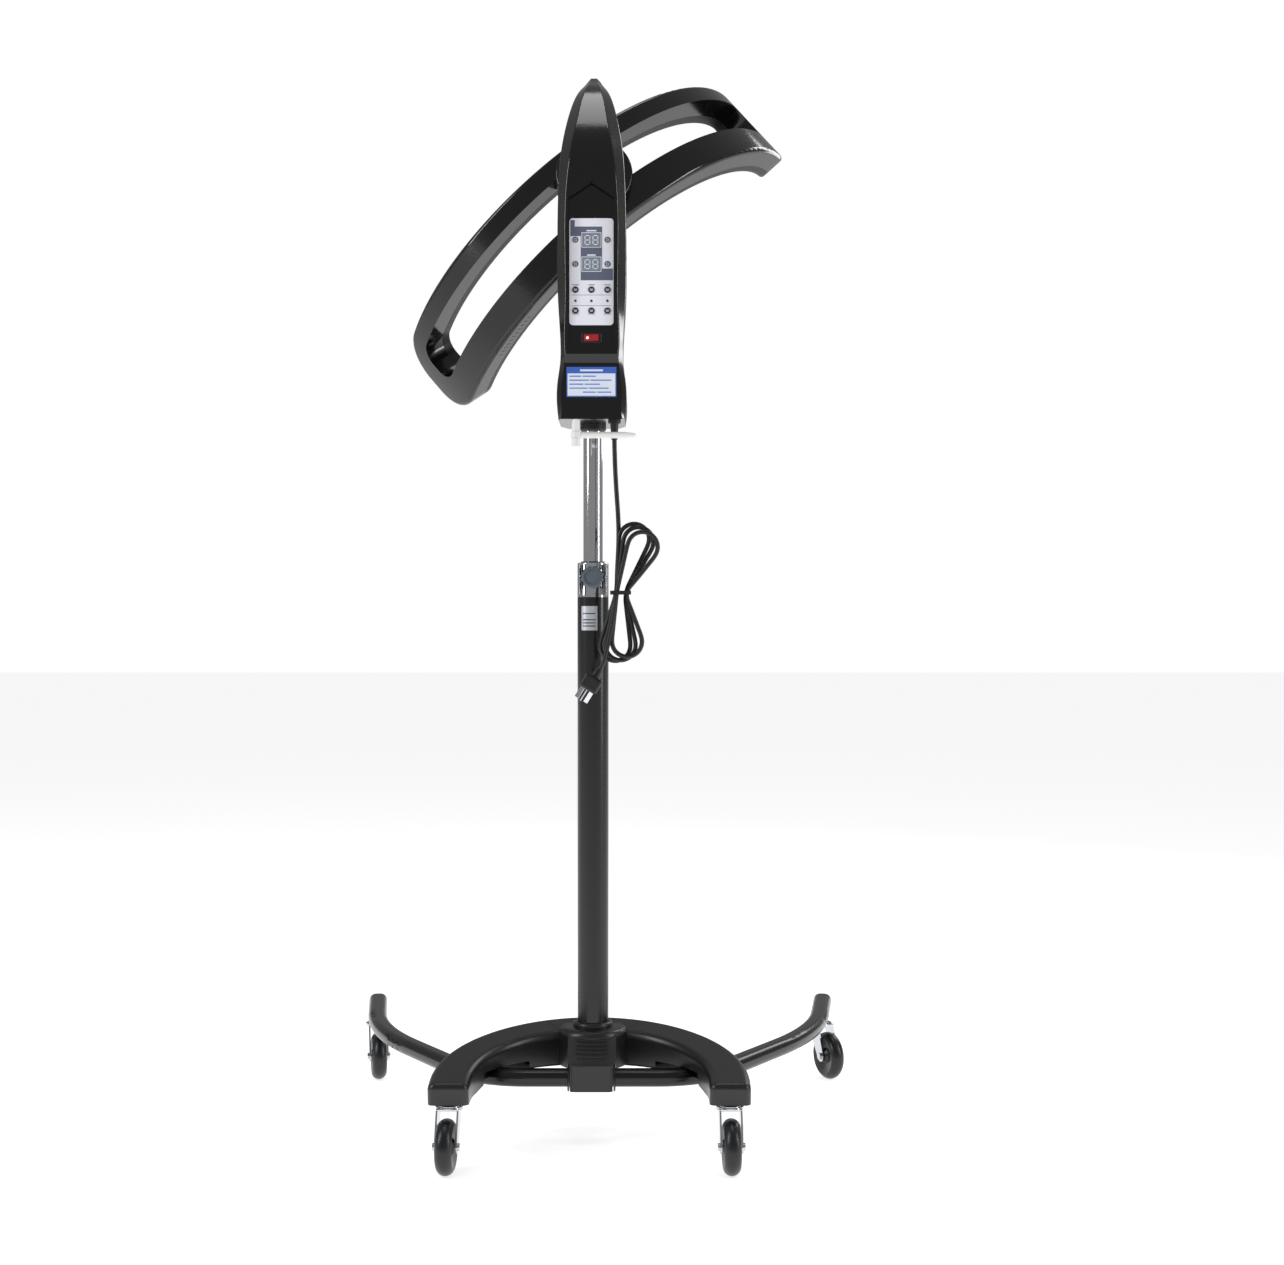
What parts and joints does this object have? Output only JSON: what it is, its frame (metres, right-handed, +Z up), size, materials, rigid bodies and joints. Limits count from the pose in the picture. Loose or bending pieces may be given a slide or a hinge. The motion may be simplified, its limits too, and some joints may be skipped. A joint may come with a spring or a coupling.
{
  "type": "orbiting infrared hair processor",
  "caption": "Salon hair processor: an oblong infrared ring that orbits on a slim upright control housing, on a sliding chrome pole, black column and wheeled base.",
  "frame": {"origin": "on the floor, under the middle of the part's bounding box", "axes": "+Z up along the column; +Y level from the control panel towards the client's side; +X to the right of someone facing the control panel"},
  "size_m": [0.791, 0.7006, 1.6071],
  "materials": {
    "charcoal_plastic": "gloss",
    "black_enamel": "gloss black enamel on steel",
    "chromed_steel": "bright chrome",
    "tyre_rubber": "satin",
    "black_plastic": "satin",
    "knob_plastic": "satin",
    "panel_film": "satin printed film",
    "key_plastic": "satin",
    "display_glass": "gloss",
    "rocker_red": "gloss translucent red",
    "plate_foil": "printed satin foil",
    "board": "satin",
    "motor_steel": "brushed",
    "white_enamel": "white powder coat",
    "cord_rubber": "satin",
    "grille_steel": "satin black anodised",
    "reflector_aluminium": "polished",
    "lamp_quartz": "ruby quartz"
  },
  "bodies": {
    "stand": {"base_cover": "charcoal_plastic", "hub_cap": "charcoal_plastic", "base_frame": "black_enamel", "front_tube": "black_enamel", "tube_end_caps": "black_plastic", "castor_sockets": "black_plastic", "column_collar": "charcoal_plastic", "lower_column": "black_enamel", "clamp_collar": "chromed_steel", "collar_bush": "black_plastic"},
    "knob": {"clamp_knob": "knob_plastic"},
    "pole": {"chrome_pole": "chromed_steel", "pole_foot_bush": "black_plastic"},
    "head": {"head_socket": "black_plastic", "rear_shell": "charcoal_plastic", "front_shell": "charcoal_plastic", "visor": "charcoal_plastic", "rating_plate": "plate_foil", "panel_overlay": "panel_film", "display_windows": "display_glass", "switch_bezel": "black_plastic", "control_board": "board", "strain_relief": "black_plastic", "hook_stem": "white_enamel", "shaft_bushes": "black_plastic", "orbit_motor": "motor_steel", "cord_lead": "cord_rubber", "cord_hank": "cord_rubber", "cord_tie": "black_plastic", "cord_tail": "cord_rubber", "plug_body": "black_plastic", "plug_pins": "chromed_steel"},
    "rocker": {"power_rocker": "rocker_red"},
    "hook": {"hook_arm": "white_enamel"},
    "ring": {"ring_outer_shell": "charcoal_plastic", "ring_inner_grille": "grille_steel", "ring_reflectors": "reflector_aluminium", "heater_tubes": "lamp_quartz", "ring_hub": "charcoal_plastic", "drive_shaft": "motor_steel"},
    "key_1": {"key_1": "key_plastic"},
    "key_2": {"key_2": "key_plastic"},
    "key_3": {"key_3": "key_plastic"},
    "key_4": {"key_4": "key_plastic"},
    "key_5": {"key_5": "key_plastic"},
    "key_6": {"key_6": "key_plastic"},
    "key_7": {"key_7": "key_plastic"},
    "key_8": {"key_8": "key_plastic"},
    "key_9": {"key_9": "key_plastic"},
    "key_10": {"key_10": "key_plastic"},
    "fork_rear_left": {"fork_rear_left": "chromed_steel"},
    "wheel_rear_left": {"wheel_rear_left": "tyre_rubber"},
    "fork_rear_right": {"fork_rear_right": "chromed_steel"},
    "wheel_rear_right": {"wheel_rear_right": "tyre_rubber"},
    "fork_front_left": {"fork_front_left": "chromed_steel"},
    "wheel_front_left": {"wheel_front_left": "tyre_rubber"},
    "fork_front_right": {"fork_front_right": "chromed_steel"},
    "wheel_front_right": {"wheel_front_right": "tyre_rubber"}
  },
  "joints": [
    {"name": "pole_slide", "type": "slide", "parent": "stand", "child": "pole", "axis": [0, 0, 1], "range_m": [-0.18, 0.11]},
    {"name": "head_swivel", "type": "hinge", "parent": "pole", "child": "head", "pos_m": [0, -0.1148, 1.085], "axis": [0, 0, 1], "continuous": true},
    {"name": "ring_orbit", "type": "hinge", "parent": "head", "child": "ring", "pos_m": [0, 0.3032, 1.3236], "axis": [0, 0.9744, -0.225], "continuous": true},
    {"name": "clamp_turn", "type": "hinge", "parent": "stand", "child": "knob", "pos_m": [0, -0.1488, 0.806], "axis": [0, -1, 0], "range_deg": [0, 270]},
    {"name": "power_switch", "type": "hinge", "parent": "head", "child": "rocker", "pos_m": [0, -0.1968, 1.1405], "axis": [0, 0, 1], "range_deg": [0, 16]},
    {"name": "hook_swing", "type": "hinge", "parent": "head", "child": "hook", "pos_m": [-0.022, -0.1898, 1.005], "axis": [0, 0, 1], "range_deg": [-110, 0]},
    {"name": "key_1_press", "type": "slide", "parent": "head", "child": "key_1", "axis": [0, 1, 0], "range_m": [0, 0.0004], "stiffness_N_per_m": 400},
    {"name": "key_2_press", "type": "slide", "parent": "head", "child": "key_2", "axis": [0, 1, 0], "range_m": [0, 0.0004], "stiffness_N_per_m": 400},
    {"name": "key_3_press", "type": "slide", "parent": "head", "child": "key_3", "axis": [0, 1, 0], "range_m": [0, 0.0004], "stiffness_N_per_m": 400},
    {"name": "key_4_press", "type": "slide", "parent": "head", "child": "key_4", "axis": [0, 1, 0], "range_m": [0, 0.0004], "stiffness_N_per_m": 400},
    {"name": "key_5_press", "type": "slide", "parent": "head", "child": "key_5", "axis": [0, 1, 0], "range_m": [0, 0.0004], "stiffness_N_per_m": 400},
    {"name": "key_6_press", "type": "slide", "parent": "head", "child": "key_6", "axis": [0, 1, 0], "range_m": [0, 0.0004], "stiffness_N_per_m": 400},
    {"name": "key_7_press", "type": "slide", "parent": "head", "child": "key_7", "axis": [0, 1, 0], "range_m": [0, 0.0004], "stiffness_N_per_m": 400},
    {"name": "key_8_press", "type": "slide", "parent": "head", "child": "key_8", "axis": [0, 1, 0], "range_m": [0, 0.0004], "stiffness_N_per_m": 400},
    {"name": "key_9_press", "type": "slide", "parent": "head", "child": "key_9", "axis": [0, 1, 0], "range_m": [0, 0.0004], "stiffness_N_per_m": 400},
    {"name": "key_10_press", "type": "slide", "parent": "head", "child": "key_10", "axis": [0, 1, 0], "range_m": [0, 0.0004], "stiffness_N_per_m": 400},
    {"name": "swivel_rear_left", "type": "hinge", "parent": "stand", "child": "fork_rear_left", "pos_m": [-0.19, -0.2848, 0.086], "axis": [0, 0, 1], "continuous": true},
    {"name": "roll_rear_left", "type": "hinge", "parent": "fork_rear_left", "child": "wheel_rear_left", "pos_m": [-0.19146, -0.31276, 0.0375], "axis": [0.9986, -0.0523, 0], "continuous": true},
    {"name": "swivel_rear_right", "type": "hinge", "parent": "stand", "child": "fork_rear_right", "pos_m": [0.19, -0.2848, 0.086], "axis": [0, 0, 1], "continuous": true},
    {"name": "roll_rear_right", "type": "hinge", "parent": "fork_rear_right", "child": "wheel_rear_right", "pos_m": [0.19098, -0.31278, 0.0375], "axis": [0.9994, 0.0349, 0], "continuous": true},
    {"name": "swivel_front_left", "type": "hinge", "parent": "stand", "child": "fork_front_left", "pos_m": [-0.36384, 0.2372, 0.086], "axis": [0, 0, 1], "continuous": true},
    {"name": "roll_front_left", "type": "hinge", "parent": "fork_front_left", "child": "wheel_front_left", "pos_m": [-0.35802, 0.20981, 0.0375], "axis": [0.9781, 0.2079, 0], "continuous": true},
    {"name": "swivel_front_right", "type": "hinge", "parent": "stand", "child": "fork_front_right", "pos_m": [0.36384, 0.2372, 0.086], "axis": [0, 0, 1], "continuous": true},
    {"name": "roll_front_right", "type": "hinge", "parent": "fork_front_right", "child": "wheel_front_right", "pos_m": [0.37523, 0.21162, 0.0375], "axis": [0.9135, 0.4067, 0], "continuous": true}
  ]
}
